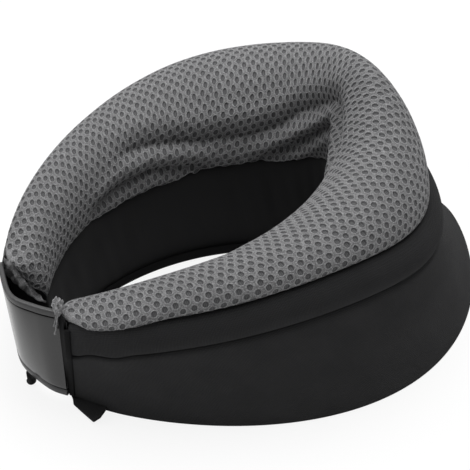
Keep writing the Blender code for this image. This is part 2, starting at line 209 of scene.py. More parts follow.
class SeamLine:
    """One egg-shaped seam line seen from above, cut off at the arm's tip."""

    def __init__(self, sizes):
        self.half_width, self.front, self.back, self.bias, self.pinch = sizes
        self.tip = 0.0

    def at_angle(self, angle):
        lean = -math.cos(angle)
        x = self.half_width * max(math.sin(angle), 0) ** self.pinch * math.exp(self.bias * lean)
        return Vector((x, (self.front + self.back) / 2 + (self.back - self.front) / 2 * lean, 0))

    def cut(self, measure, level):
        low, high = 0.0, math.pi / 2
        for _ in range(50):
            middle = (low + high) / 2
            if measure(self.at_angle(middle)) > level:
                low = middle
            else:
                high = middle
        self.tip = high

    def at(self, share):
        return self.at_angle(self.tip + (math.pi - self.tip) * share)


NECK, ROLL, BAND, HEM = (SeamLine(sizes) for sizes in (NECK_LINE, ROLL_LINE, BAND_LINE, HEM_LINE))
NECK.cut(lambda point: -point.x, -TIP_SPACING / 2)
for seam_line in (ROLL, BAND, HEM):
    seam_line.cut(lambda point: point.dot(TIP_NORMAL), NECK.at(0).dot(TIP_NORMAL))


def bezier(a, b, c, d, t):
    return a * (1 - t) ** 3 + b * 3 * t * (1 - t) ** 2 + c * 3 * t * t * (1 - t) + d * t ** 3


def mirrored(point):
    return Vector((-point.x, point.y, point.z))


def even_steps(points, count):
    """Even steps along a chain of points, each as a link and a share of it, and the chain's length."""
    reach = [0.0]
    for one, two in zip(points, points[1:]):
        reach.append(reach[-1] + (two - one).length)
    steps, k = [], 0
    for step in range(count):
        goal = reach[-1] * step / count
        while reach[k + 1] < goal:
            k += 1
        steps.append((k, (goal - reach[k]) / (reach[k + 1] - reach[k])))
    return steps, reach[-1]


def seam_ripple(share):
    """How the seam under the band waves up and down near an arm's tip."""
    wave = RIPPLE_DEPTH * math.sin(RIPPLE_RATE * share - RIPPLE_START)
    return wave * smooth(share / 0.03) * smooth((0.15 - share) / 0.05)


def roll_arch(share):
    """Corners and handles of the roll's section, outer seam first."""
    neck_top = NECK.at(share) + UP * along(LINING_HEIGHT, share)
    seam = ROLL.at(share) + UP * along(ROLL_SEAM_HEIGHT, share)
    out = seam - neck_top
    out.z = 0
    out.normalize()
    crown = neck_top.z + along(ROLL_RISE, share) * 4 / 3
    inner_handle = neck_top + UP * (crown - neck_top.z) - out * ROLL_INNER_BULGE
    outer_handle = seam + UP * (crown - seam.z) + out * along(ROLL_OUTER_BULGE, share)
    return (seam, outer_handle, inner_handle, neck_top), out


def section(share):
    """Skin of the near arm at one station, up from the hem and over to the lining's foot."""
    arch, out = roll_arch(share)
    seam, neck_top = arch[0], arch[3]
    valley = BAND.at(share) + UP * (seam.z - along(BAND_HEIGHT, share))
    valley.z += seam_ripple(share)
    foot = HEM.at(share) + UP * COVER_FOOT + out * HEM_SPREAD * smooth(share / 0.1)
    neck_foot = NECK.at(share) + UP * COVER_FOOT
    points = []
    for k in range(SKIRT_ROWS):
        t = k / SKIRT_ROWS
        points.append(foot.lerp(valley, t) - out * SKIRT_SAG * 4 * t * (1 - t))
    for k in range(BAND_ROWS):
        t = k / BAND_ROWS
        points.append(valley.lerp(seam, t) + out * along(BAND_BULGE, share) * 4 * t * (1 - t))
    fine = [bezier(*arch, k / ARCH_STEPS) for k in range(ARCH_STEPS + 1)]
    steps, _ = even_steps(fine, ROLL_ROWS)
    for k, t in steps:
        points.append(fine[k].lerp(fine[k + 1], t))
    for k in range(LINING_ROWS + 1):
        points.append(neck_top.lerp(neck_foot, k / LINING_ROWS))
    return points


def even_shares():
    """Shares of the near arm at even steps along the crown of the roll, and the crown's length."""
    crown = [bezier(*roll_arch(k / CROWN_STEPS)[0], 0.5) for k in range(CROWN_STEPS + 1)]
    steps, length = even_steps(crown, COLUMNS // 2)
    return [(k + t) / CROWN_STEPS for k, t in steps] + [1.0], length


SHARES, ARM_CROWN = even_shares()
CROWN = 2 * ARM_CROWN
near_sections = [section(share) for share in SHARES]
SKIN = near_sections + [[mirrored(point) for point in ring] for ring in reversed(near_sections[:-1])]


def round_back(skin):
    """Ease the pointed middle of the back, where the two arms meet, into a curve."""
    middle = COLUMNS // 2
    outer, inner = BACK_PASSES
    for row in range(LINING_FOOT + 1):
        line = [ring[row] for ring in skin]
        for _ in range(round(outer + (inner - outer) * smooth((row - BAND_TOP) / ROLL_ROWS))):
            before = list(line)
            for column in range(middle - BACK_REACH, middle + BACK_REACH + 1):
                ease = 0.5 * smooth((BACK_REACH - abs(column - middle)) / BACK_FADE)
                between = (before[column - 1] + before[column + 1]) / 2
                line[column] = before[column].lerp(between, ease)
        for ring, point in zip(skin, line):
            ring[row] = point


round_back(SKIN)


def link_mesh(name, bm):
    mesh = bpy.data.meshes.new(name)
    bm.to_mesh(mesh)
    bm.free()
    item = bpy.data.objects.new(name, mesh)
    bpy.context.collection.objects.link(item)
    return item


def sewn_cover(skin):
    """The whole cover as one closed bag, with each vertex's column and row on the skin."""
    bm = bmesh.new()
    bmesh.ops.create_grid(bm, x_segments=COLUMNS, y_segments=LINING_FOOT, size=0.5)
    column_of = bm.verts.layers.int.new("column")
    row_of = bm.verts.layers.int.new("row")
    for vert in bm.verts:
        vert[column_of] = round((vert.co.x + 0.5) * COLUMNS)
        vert[row_of] = round((vert.co.y + 0.5) * LINING_FOOT)
        vert.co = skin[vert[column_of]][vert[row_of]] * MM
    edges = {}
    for edge in bm.edges:
        for row in (0, LINING_FOOT):
            if all(vert[row_of] == row for vert in edge.verts):
                edges.setdefault(row, []).append(edge)
    bmesh.ops.bridge_loops(bm, edges=edges[0] + edges[LINING_FOOT])
    bmesh.ops.holes_fill(bm, edges=[edge for edge in bm.edges if edge.is_boundary], sides=0)
    return link_mesh("sewn_cover", bm)


def swell(skin):
    """Let the sewn cover swell as cloth over its foam, held at its seams and its two ends."""
    cover = sewn_cover(skin)
    mesh = cover.data
    columns = [item.value for item in mesh.attributes["column"].data]
    rows = [item.value for item in mesh.attributes["row"].data]
    held = (0, SKIRT_TOP, BAND_TOP, ROLL_INNER, LINING_FOOT)
    seams = cover.vertex_groups.new(name="seams")
    pinned = [k for k in range(len(rows)) if rows[k] in held or columns[k] in (0, COLUMNS)]
    seams.add(pinned, 1.0, "REPLACE")
    cloth = cover.modifiers.new("cloth", "CLOTH")
    cloth.settings.quality = 6
    cloth.settings.mass = 0.2
    cloth.settings.tension_stiffness = 12
    cloth.settings.compression_stiffness = 8
    cloth.settings.shear_stiffness = 4
    cloth.settings.bending_stiffness = 2
    cloth.settings.vertex_group_mass = "seams"
    cloth.settings.use_pressure = True
    cloth.settings.uniform_pressure_force = SWELL_PRESSURE
    cloth.settings.effector_weights.gravity = 0
    cloth.collision_settings.use_collision = False
    cloth.point_cache.frame_start = 1
    cloth.point_cache.frame_end = SWELL_FRAMES
    scene = bpy.context.scene
    for step in range(1, SWELL_FRAMES + 1):
        scene.frame_set(step)
    sewn = cover.evaluated_get(bpy.context.evaluated_depsgraph_get()).to_mesh()
    swollen = [list(ring) for ring in skin]
    for k, vert in enumerate(sewn.vertices):
        start = skin[columns[k]][rows[k]]
        move = vert.co / MM - start
        if move.length > SWELL_LIMIT:
            move *= SWELL_LIMIT / move.length
        swollen[columns[k]][rows[k]] = start + move
    scene.frame_set(1)
    bpy.data.objects.remove(cover, do_unlink=True)
    bpy.data.meshes.remove(mesh)
    return swollen


SKIN = swell(SKIN)


def taps(place, low, high):
    """Spline weights of the grid lines round a place, kept between two lines."""
    k = min(max(math.floor(place), low), high - 1)
    t = place - k
    weights = ((-t + 2 * t * t - t ** 3) / 2, (2 - 5 * t * t + 3 * t ** 3) / 2,
               (t + 4 * t * t - 3 * t ** 3) / 2, (t ** 3 - t * t) / 2)
    found = {}
    for line, weight in zip(range(k - 1, k + 3), weights):
        if line < low:
            found[low] = found.get(low, 0) + 2 * weight
            found[low + 1] = found.get(low + 1, 0) - weight
        elif line > high:
            found[high] = found.get(high, 0) + 2 * weight
            found[high - 1] = found.get(high - 1, 0) - weight
        else:
            found[line] = found.get(line, 0) + weight
    return found.items()


def skin_point(column, row, low, high):
    """Point of one panel of the swollen skin, between two of its seams."""
    point = Vector()
    rows = taps(row, low, high)
    for i, across in taps(column, 0, COLUMNS):
        for j, up in rows:
            point += SKIN[i][j] * (across * up)
    return point


def level(direction):
    """The part of a direction along the ground, made one long."""
    return Vector((direction.x, direction.y, 0)).normalized()


def panel_normal(place, a, b, step):
    point = place(a, b)
    run = place(a + step, b) - place(a - step, b)
    rise = place(a, b + step) - place(a, b - step)
    return point, run.cross(rise).normalized()


# Modelling


def squared(side, rounding):
    """One side of a round section drawn towards a square: the lower the rounding, the squarer."""
    return math.copysign(abs(side) ** rounding, side)


def patch(columns, rows, place, spread, closed=False):
    """Grid bent to place(a, b), with a and b from 0 to 1; spread is its flat size."""
    bm = bmesh.new()
    weave = bm.loops.layers.uv.new("weave")
    bmesh.ops.create_grid(bm, x_segments=columns, y_segments=rows, size=0.5)
    for face in bm.faces:
        for loop in face.loops:
            spot = loop.vert.co
            loop[weave].uv = ((spot.x + 0.5) * spread[0], (spot.y + 0.5) * spread[1])
    for vert in bm.verts:
        vert.co = place(vert.co.x + 0.5, vert.co.y + 0.5)
    if closed:
        bmesh.ops.remove_doubles(bm, verts=bm.verts, dist=0.001)
        bmesh.ops.holes_fill(bm, edges=[edge for edge in bm.edges if edge.is_boundary], sides=0)
        bmesh.ops.recalc_face_normals(bm, faces=bm.faces)
    return bm


def finish(name, bm, materials, body="collar", thickness=0.0, levels=0):
    """Make a piece of a mesh in millimetres, and let it ride on a body if one is named."""
    bmesh.ops.scale(bm, vec=(MM, MM, MM), verts=bm.verts)
    piece = link_mesh(name, bm)
    mesh = piece.data
    for material in materials:
        mesh.materials.append(material)
    mesh.polygons.foreach_set("use_smooth", [True] * len(mesh.polygons))
    if thickness:
        wall = piece.modifiers.new("cloth_thickness", "SOLIDIFY")
        wall.thickness = thickness * MM
        wall.offset = -1
        wall.use_even_offset = False
    if levels:
        finer = piece.modifiers.new("finer", "SUBSURF")
        finer.levels = finer.render_levels = levels
    if body:
        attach(piece, body)
    return piece


# Materials


def new_finish(name, colour, roughness, **sockets):
    material = bpy.data.materials.new(name)
    material.use_nodes = True
    shader = material.node_tree.nodes["Principled BSDF"]
    shader.inputs["Base Color"].default_value = (*colour, 1)
    shader.inputs["Roughness"].default_value = roughness
    for socket, value in sockets.items():
        shader.inputs[socket.replace("_", " ")].default_value = value
    return material, material.node_tree, shader


def add(tree, kind, inputs, **settings):
    node = tree.nodes.new("ShaderNode" + kind)
    for setting, value in settings.items():
        setattr(node, setting, value)
    for socket, value in inputs.items():
        if isinstance(value, bpy.types.NodeSocket):
            tree.links.new(value, node.inputs[socket])
        else:
            node.inputs[socket].default_value = value
    return node


def calc(tree, operation, first, second=0.0):
    return add(tree, "Math", {0: first, 1: second}, operation=operation).outputs[0]


def weave_axes(tree):
    """Lengthwise and crosswise place on the cloth, in millimetres."""
    spot = add(tree, "UVMap", {}, uv_map="weave")
    split = add(tree, "SeparateXYZ", {0: spot.outputs[0]})
    return spot.outputs[0], split.outputs[0], split.outputs[1]


def bump(tree, shader, height, distance, strength=1.0):
    node = add(tree, "Bump", {"Height": height, "Distance": distance * MM, "Strength": strength})
    tree.links.new(node.outputs[0], shader.inputs["Normal"])


def shades(tree, shader, height, low, high):
    """Colour that goes from low to high with a height of 0 to 1."""
    ramp = add(tree, "ValToRGB", {0: height})
    ramp.color_ramp.elements[0].color = (*low, 1)
    ramp.color_ramp.elements[1].color = (*high, 1)
    tree.links.new(ramp.outputs[0], shader.inputs["Base Color"])


def jersey(tree, wale, course):
    """Height of a plain knit: two slanting legs to each wale, in courses."""
    spot, u, v = weave_axes(tree)
    wander = add(tree, "TexNoise", {"Vector": spot, "Scale": 0.12, "Detail": 2.0})
    side = calc(tree, "ADD", calc(tree, "DIVIDE", u, wale), wander.outputs[0])
    leg = calc(tree, "PINGPONG", side, 0.5)
    ridge = calc(tree, "SINE", calc(tree, "MULTIPLY", leg, 2 * math.pi))
    climb = calc(tree, "ADD", calc(tree, "DIVIDE", v, course), leg)
    loop = calc(tree, "SINE", calc(tree, "MULTIPLY", climb, 2 * math.pi))
    loops = calc(tree, "ADD", calc(tree, "MULTIPLY", loop, 0.25), 0.75)
    return spot, calc(tree, "MULTIPLY", ridge, loops)


def knit(name, dark, light, wale, course, depth):
    material, tree, shader = new_finish(name, light, 0.95, Specular_IOR_Level=0.06)
    spot, height = jersey(tree, wale, course)
    worn = add(tree, "TexNoise", {"Vector": spot, "Scale": 0.05, "Detail": 4.0})
    loops = calc(tree, "MULTIPLY", height, 0.7)
    patches = calc(tree, "MULTIPLY", worn.outputs[0], 0.3)
    shades(tree, shader, calc(tree, "ADD", loops, patches), dark, light)
    bump(tree, shader, height, depth)
    return material


def mesh_strands():
    """Grey yarn of the air mesh: a bright thread round each hole, with a groove between neighbours."""
    material, tree, shader = new_finish("air_mesh_strands", (0.2, 0.2, 0.205), 0.8,
                                        Specular_IOR_Level=0.25)
    spot, _, _ = weave_axes(tree)
    ring = add(tree, "Attribute", {}, attribute_name="ring")
    fleck = add(tree, "TexNoise", {"Vector": spot, "Scale": 0.6, "Detail": 1.0, "Roughness": 0.6})
    stray = calc(tree, "MULTIPLY", calc(tree, "SUBTRACT", fleck.outputs[0], 0.5), 1.1)
    thread = calc(tree, "PINGPONG", calc(tree, "ADD", ring.outputs["Fac"], stray), 0.5)
    curl = calc(tree, "PINGPONG", calc(tree, "MULTIPLY", fleck.outputs[0], 5.5), 0.5)
    twist = calc(tree, "MULTIPLY", thread, 0.8)
    shade = calc(tree, "ADD", twist, calc(tree, "MULTIPLY", curl, 1.2))
    shades(tree, shader, shade, (0.085, 0.085, 0.087), (0.33, 0.33, 0.335))
    bump(tree, shader, shade, 0.4)
    return material


def mesh_backing(name, low, high):
    """Backing of the air mesh, seen down its holes: upright filaments, in colours that are partly the
    backing's own grey and partly painted shade.
    """
    material, tree, shader = new_finish(name, high, 0.9, Specular_IOR_Level=0.2)
    _, u, _ = weave_axes(tree)
    wave = calc(tree, "SINE", calc(tree, "MULTIPLY", u, 2 * math.pi / 0.8))
    height = calc(tree, "ADD", calc(tree, "MULTIPLY", wave, 0.5), 0.5)
    shades(tree, shader, height, low, high)
    bump(tree, shader, height, 0.15)
    return material


def leather(name, colour, roughness):
    """Smooth coated sheet with a fine pebble grain."""
    material, tree, shader = new_finish(name, colour, roughness, Specular_IOR_Level=0.5)
    place = add(tree, "TexCoord", {})
    grain = add(tree, "TexVoronoi", {"Vector": place.outputs["Object"], "Scale": 1400.0})
    haze = add(tree, "TexNoise", {"Vector": place.outputs["Object"], "Scale": 60.0, "Detail": 4.0})
    bump(tree, shader, grain.outputs[0], 0.06, 0.5)
    rough = add(tree, "MapRange", {0: haze.outputs[0], 3: roughness - 0.05, 4: roughness + 0.08})
    tree.links.new(rough.outputs[0], shader.inputs["Roughness"])
    return material


def woven(name, colour, pitch, depth, roughness=0.75):
    """Tight plain weave, as on tape and lining cloth."""
    material, tree, shader = new_finish(name, colour, roughness, Specular_IOR_Level=0.08)
    _, u, v = weave_axes(tree)
    warp = calc(tree, "SINE", calc(tree, "MULTIPLY", u, 2 * math.pi / pitch))
    weft = calc(tree, "SINE", calc(tree, "MULTIPLY", v, 2 * math.pi / pitch))
    cross = calc(tree, "ADD", calc(tree, "MULTIPLY", calc(tree, "MULTIPLY", warp, weft), 0.5), 0.5)
    low = tuple(part * 0.7 for part in colour)
    high = tuple(part * 1.25 for part in colour)
    shades(tree, shader, cross, low, high)
    bump(tree, shader, cross, depth)
    return material


STRANDS = mesh_strands()
# Hole walls and floors: the backing's own darker grey, darkened further as painted shade down each hole,
# the walls most.
PIT_WALLS_WITH_PAINTED_SHADE = mesh_backing("air_mesh_hole_rim_painted_shade", (0.055, 0.055, 0.057), (0.085, 0.085, 0.088))
PITS_WITH_PAINTED_SHADE = mesh_backing("air_mesh_backing_painted_shade", (0.075, 0.075, 0.077), (0.12, 0.12, 0.123))
SKIRT_KNIT = knit("skirt_jersey", (0.012, 0.012, 0.0124), (0.058, 0.058, 0.0595), 1.4, 1.1, 0.25)
BAND_KNIT = knit("band_jersey", (0.012, 0.012, 0.0124), (0.046, 0.046, 0.0475), 1.4, 1.1, 0.25)
LINING_CLOTH = woven("lining_cloth", (0.021, 0.021, 0.0216), 0.6, 0.05, 0.85)
BASE_CLOTH = woven("base_cloth", (0.009, 0.009, 0.0093), 0.9, 0.1, 0.85)
TAPE = woven("binding_tape", (0.008, 0.008, 0.0083), 0.8, 0.1, 0.85)
# Lighter copy of the binding tape for the hem tails and the far knob: painted light that makes up for the
# skirt's shade they lie in.
TAIL_TAPE_PAINTED_LIGHT = woven("tail_tape_painted_light", (0.024, 0.024, 0.0246), 1.0, 0.15, 0.85)
HOOKS = woven("hook_tape", (0.010, 0.010, 0.010), 1.2, 0.4, 0.7)
LEATHER = leather("strap_leather", (0.005, 0.005, 0.0052), 0.15)
EDGE_LEATHER = leather("edging_leather", (0.012, 0.012, 0.0124), 0.4)


# Air-mesh roll


GIRTHS = []
for skin_ring in SKIN:
    GIRTHS.append(sum((skin_ring[j + 1] - skin_ring[j]).length for j in range(BAND_TOP, ROLL_INNER)))


def girth(u):
    """Length over the roll from seam to seam, at a distance along its crown."""
    place = min(max(u / CROWN, 0), 1) * COLUMNS
    i = min(int(place), COLUMNS - 1)
    return GIRTHS[i] + (GIRTHS[i + 1] - GIRTHS[i]) * (place - i)


def share_at(u):
    """Share of the arm at a distance along the crown, from either tip."""
    place = min(max(min(u, CROWN - u), 0) / ARM_CROWN, 1) * (COLUMNS // 2)
    k = min(int(place), COLUMNS // 2 - 1)
    return SHARES[k] + (SHARES[k + 1] - SHARES[k]) * (place - k)


def tip_sag(share, far):
    """How the mesh sags over the band near an arm's tip: how much, and how far out and down."""
    if far:
        return smooth((0.14 - share) / 0.12), FAR_SAG_OUT, FAR_SAG_DROP
    return smooth(share / 0.06) * smooth((0.22 - share) / 0.12), SAG_OUT, SAG_DROP


def slit_lift(spot):
    """How far the slit of a closed end stands over the line between the two seams."""
    share = (spot - SLIT_ENDS[0]) / (SLIT_ENDS[1] - SLIT_ENDS[0])
    return SLIT_LIFT[0] + (SLIT_LIFT[1] - SLIT_LIFT[0]) * share


def roll_point(u, v):
    """Point on the roll at u along the crown and v up from mid-girth, with its rounded ends."""
    far = u > CROWN / 2
    reach = CROWN - u if far else u
    turn = 0.0
    if reach < END_ROUND:
        turn = min((END_ROUND - reach) / END_ROUND, math.pi / 2)
        reach = END_ROUND * (1 - math.sin(turn))
    column = reach / CROWN * COLUMNS
    if far:
        column = COLUMNS - column
    over = v / girth(reach) + 0.5
    point = skin_point(column, BAND_TOP + over * ROLL_ROWS, BAND_TOP, ROLL_INNER)
    if over >= SAG_TOP and not turn:
        return point
    outer = skin_point(column, BAND_TOP, BAND_TOP, ROLL_INNER)
    inner = skin_point(column, ROLL_INNER, BAND_TOP, ROLL_INNER)
    if over < SAG_TOP:
        sag, aside, drop = tip_sag(share_at(reach), far)
        hang = level(outer - inner) * aside - UP * drop
        point += hang * sag * smooth((SAG_TOP - over) / SAG_FADE)
    if turn:
        spot = SLIT_ENDS[0] + (SLIT_ENDS[1] - SLIT_ENDS[0]) * smooth((over - 0.15) / 0.7)
        slit = outer.lerp(inner, spot) + UP * slit_lift(spot)
        ahead = mirrored(TIP_NORMAL) if far else TIP_NORMAL
        share = smooth((1 - over) / END_CORNER) * smooth(over / END_CORNER)
        point = point.lerp(slit, (1 - math.cos(turn)) ** 1.3 * (0.06 + 0.91 * share))
        point += ahead * END_PROUD * math.sin(turn) ** 2 * share
    return point


def fold_depth(u, v):
    """How deep the folds of the inner wall press the roll in."""
    share = share_at(u)
    height = girth(u) / 2 - v
    depth = 0.0
    for deep, wide, route in FOLDS:
        for (start, low), (end, high) in zip(route, route[1:]):
            if start <= share < end or share == end == 1:
                middle = low + (high - low) * (share - start) / (end - start)
                fade = smooth((share - route[0][0]) / FOLD_FADE)
                if route[-1][0] < 1:
                    fade *= smooth((route[-1][0] - share) / FOLD_FADE)
                gap = abs(height - middle)
                ridge = 0.4 * math.exp(-((gap - 3.6 * wide) / (1.8 * wide)) ** 2)
                depth += fade * deep * (math.exp(-gap / wide) - ridge)
    return depth


def reshape_holes(faces, amount):
    """Make holes taller across the roll, and draw them into slits where it bends over its crown."""
    for face in faces:
        middle = face.calc_center_median()
        over = middle.y / girth(middle.x) + 0.5
        crown = math.exp(-((over - CROWN_MIDDLE) / CROWN_WIDTH) ** 2)
        crown *= smooth((share_at(middle.x) - 0.1) / 0.25)
        shapes = zip(HOLE_SHAPE, CROWN_HOLE_SHAPE)
        wide, tall = (plain + (drawn - plain) * crown for plain, drawn in shapes)
        for vert in face.verts:
            vert.co.x = middle.x + (vert.co.x - middle.x) * (1 + (wide - 1) * amount)
            vert.co.y = middle.y + (vert.co.y - middle.y) * (1 + (tall - 1) * amount)


def is_drawn_shut(face):
    """Whether a cell lies at an arm's outer corner, where the closed end stretches the mesh flat."""
    middle = face.calc_center_median()
    by_tip = min(middle.x, CROWN - middle.x) < SHUT_REACH * END_ROUND
    return by_tip and middle.y / girth(middle.x) < SHUT_OVER


def lay_cells(bm):
    """Lay six-sided cells flat over the whole roll, and trim them at its seams and ends."""
    shape = Matrix.Diagonal((HOLE_PITCH / math.sqrt(3), HOLE_ROW / 1.5, 1, 1))
    start = END_ROUND * (1 - math.pi / 2)
    rows = int(max(GIRTHS) / 2 / HOLE_ROW) + 1
    columns = int((CROWN - 2 * start) / HOLE_PITCH) + 1
    for row in range(-rows, rows + 1):
        for column in range(columns + 2):
            u = start + (column + (row % 2) / 2) * HOLE_PITCH
            v = row * HOLE_ROW
            if abs(v) < girth(u) / 2 + HOLE_ROW * 0.4 and u < CROWN - start + HOLE_PITCH / 2:
                bmesh.ops.create_circle(bm, cap_ends=True, segments=6, radius=1,
                                        matrix=Matrix.Translation((u, v, 0)) @ shape)
    bmesh.ops.remove_doubles(bm, verts=bm.verts, dist=0.05)
    for vert in bm.verts:
        vert.co.x = min(max(vert.co.x, start), CROWN - start)
        half = girth(vert.co.x) / 2
        ragged = RAGGED_EDGE + RAGGED_DEPTH * noise.noise((vert.co.x * 0.9, 0, 0))
        vert.co.y = min(max(vert.co.y, -half), half + ragged)
    scraps = [face for face in bm.faces if face.calc_area() < HOLE_PITCH * HOLE_ROW * SCRAP_SHARE]
    bmesh.ops.delete(bm, geom=scraps, context="FACES")
    bm.normal_update()
    for face in bm.faces:
        if face.normal.z < 0:
            face.normal_flip()
    bm.normal_update()


def mark_ring(faces, ring, value):
    for face in faces:
        for vert in face.verts:
            vert[ring] = value


def open_holes(bm, cells, ring):
    """Raise a thread round each cell, and sink its middle to the backing."""
    full = HOLE_PITCH * HOLE_ROW
    for low, high, part in CELL_SIZES:
        group = [face for face in cells if low * full <= face.calc_area() < high * full]
        half = STRAND_HALF * part / 2
        for ring_value, depth in ((0.5, STRAND_RISE), (1.0, -STRAND_RISE)):
            bmesh.ops.inset_individual(bm, faces=group, thickness=half, depth=depth, use_even_offset=True)
            reshape_holes(group, 0.5 * part)
            mark_ring(group, ring, ring_value)
        # Walls and floors of the holes take the backing colours, which are partly painted shade.
        walls = bmesh.ops.inset_individual(bm, faces=group, thickness=HOLE_WALL * part,
                                           depth=-HOLE_DEPTH * part, use_even_offset=True)
        for face in walls["faces"]:
            face.material_index = 1
        for face in group:
            face.material_index = 2


def wrap_roll(bm):
    """Bend the flat mesh over the roll, with its folds, and tuck its edges into the seams."""
    for vert in bm.verts:
        u, v, rise = vert.co
        point, out = panel_normal(roll_point, u, v, 0.4)
        edge = max(girth(u) / 2 - abs(v), 0)
        if v < 0:
            point -= level(out) * SEAM_TUCK * math.exp(-edge / TUCK_FADE)
        else:
            point -= out * INNER_TUCK * math.exp(-edge / INNER_FADE)
        vert.co = point + out * (rise - fold_depth(u, v))


def mesh_sleeve():
    """The air mesh as a lattice of six-sided cells, each with a raised thread round its sunk hole."""
    bm = bmesh.new()
    weave = bm.loops.layers.uv.new("weave")
    ring = bm.verts.layers.float.new("ring")
    lay_cells(bm)
    shut = [face for face in bm.faces if is_drawn_shut(face)]
    mark_ring(shut, ring, SHUT_RING)
    open_holes(bm, [face for face in bm.faces if face not in shut], ring)
    for face in bm.faces:
        for loop in face.loops:
            loop[weave].uv = loop.vert.co.xy
    wrap_roll(bm)
    return finish("mesh_sleeve", bm, (STRANDS, PIT_WALLS_WITH_PAINTED_SHADE, PITS_WITH_PAINTED_SHADE), levels=1)


sleeve = mesh_sleeve()
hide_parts("mesh_cover", "roll_foam")


# Knit body


def body_panel(low, high, top_tuck, foot_tuck, height, crease=0.0):
    """A place function for one panel of the body, tucked in at its seams and creased upright."""
    def bare(a, b):
        return skin_point(a * COLUMNS, low + b * (high - low), low, high)

    def place(a, b):
        point, out = panel_normal(bare, a, b, 0.004)
        tuck = top_tuck * math.exp(-(1 - b) * height / TUCK_FADE)
        tuck += foot_tuck * math.exp(-b * height / TUCK_FADE)
        wave = math.sin(2 * math.pi * (40 * a + 1.5 * b)) * (0.5 + noise.noise((14 * a, 0, 0)))
        return point - level(out) * tuck - out * crease * wave * math.sin(math.pi * b)
    return place


SKIRT_PANEL = body_panel(0, SKIRT_TOP, SEAM_TUCK, 0.0, SKIRT_SIZE[1])
BAND_PANEL = body_panel(SKIRT_TOP, BAND_TOP, SEAM_TUCK, SEAM_TUCK, BAND_SIZE[1])
LINING_PANEL = body_panel(ROLL_INNER, LINING_FOOT, LINING_TOP_TUCK, LINING_FOOT_TUCK, LINING_SIZE[1],
                          LINING_CREASE)


def band_place(a, b):
    """The band, drawn down at the far tip to lie under the sagging mesh."""
    return BAND_PANEL(a, b) - UP * FAR_TIP_TUCK * smooth((a - 0.94) / 0.045) * b ** 3


def base_place(a, b):
    """The cloth under the body, from a little inside the lining's foot to the hem; the dark strip inside
    the foot is painted shadow on the floor of the neck opening.
    """
    foot = skin_point(a * COLUMNS, LINING_FOOT, ROLL_INNER, LINING_FOOT)
    hem = skin_point(a * COLUMNS, 0, 0, SKIRT_TOP)
    point = foot.lerp(hem, -BASE_PAINTED_SHADOW_INSET + BASE_REACH * b)
    point.z = BASE_HEIGHT
    return point


skirt = finish("skirt", patch(260, 30, SKIRT_PANEL, SKIRT_SIZE), (SKIRT_KNIT,),
               thickness=0.5, levels=1)
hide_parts("skirt_cover", "base_foam")
band = finish("band_roll", patch(260, 16, band_place, BAND_SIZE), (BAND_KNIT,),
              thickness=1.6, levels=1)
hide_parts("band_cover")
lining = finish("neck_lining", patch(220, 14, LINING_PANEL, LINING_SIZE), (LINING_CLOTH,),
                thickness=1.2, levels=1)
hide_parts("inner_lining")
base = finish("base_cloth", patch(160, 12, base_place, BASE_SIZE), (BASE_CLOTH,),
              thickness=1.2)
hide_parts("base_panel")


# Closed ends of the arms


def arm_tip(side):
    """Section of the skin at an arm's tip, as on the near arm."""
    return [mirrored(point) for point in SKIN[COLUMNS]] if side == "far" else SKIN[0]


def end_panel(side, flip):
    """Knit panel over the end of an arm, under the mesh."""
    tip = arm_tip(side)

    def place(a, b):
        height = a * BAND_TOP
        k = min(int(height), BAND_TOP - 1)
        outer = tip[k].lerp(tip[k + 1], height - k)
        inner = tip[LINING_FOOT].lerp(tip[ROLL_INNER], a)
        puff = 0.4 + PANEL_PUFF * math.sin(math.pi * a) * math.sin(math.pi * b)
        under_mesh = PANEL_LIFT * smooth((a - 0.8) / 0.2) * math.sin(math.pi * b)
        if side == "far":
            under_mesh -= FAR_TIP_TUCK * smooth((a - 0.75) / 0.25) * smooth((0.35 - b) / 0.3)
        return flip(outer.lerp(inner, 0.02 + 0.96 * b) + TIP_NORMAL * puff + UP * under_mesh)

    bm = patch(24, 16, place, (60, 30))
    if side == "far":
        bmesh.ops.reverse_faces(bm, faces=bm.faces)
    panel = finish(side + "_end_cloth", bm, (SKIRT_KNIT,), thickness=0.8, levels=1)
    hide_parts(side + "_end_panel")


def end_binding(side, flip):
    """Woven tape folded round the outer corner of an arm's end."""
    tip, behind = SKIN[0], SKIN[4]
    if side == "far":
        tip, behind = ([mirrored(point) for point in ring] for ring in (SKIN[-1], SKIN[-5]))

    def place(a, b):
        height = 1.0 + a * (BAND_TOP - 2.0)
        k = min(int(height), BAND_TOP - 1)
        corner = tip[k].lerp(tip[k + 1], height - k)
        run = level(behind[k].lerp(behind[k + 1], height - k) - corner)
        out = Vector((run.y, -run.x, 0))
        angle = -2 * math.pi * b
        across = BINDING_WIDE * squared(math.cos(angle), 0.6)
        proud = BINDING_PROUD * squared(math.sin(angle), 0.7)
        return flip(corner + run * (BINDING_LIFT + across) + out * (BINDING_LIFT + proud))

    tape = finish(side + "_binding", patch(60, 16, place, (62, 10), closed=True), (TAPE,), levels=1)
    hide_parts(side + "_end_binding")


def end_place(across, ahead, height):
    """Point by the near end: inward from its outer corner, out of its face, and a height."""
    inward = Vector((TIP_NORMAL.y, -TIP_NORMAL.x, 0))
    return ROLL.at(0) + inward * across + TIP_NORMAL * ahead + UP * height


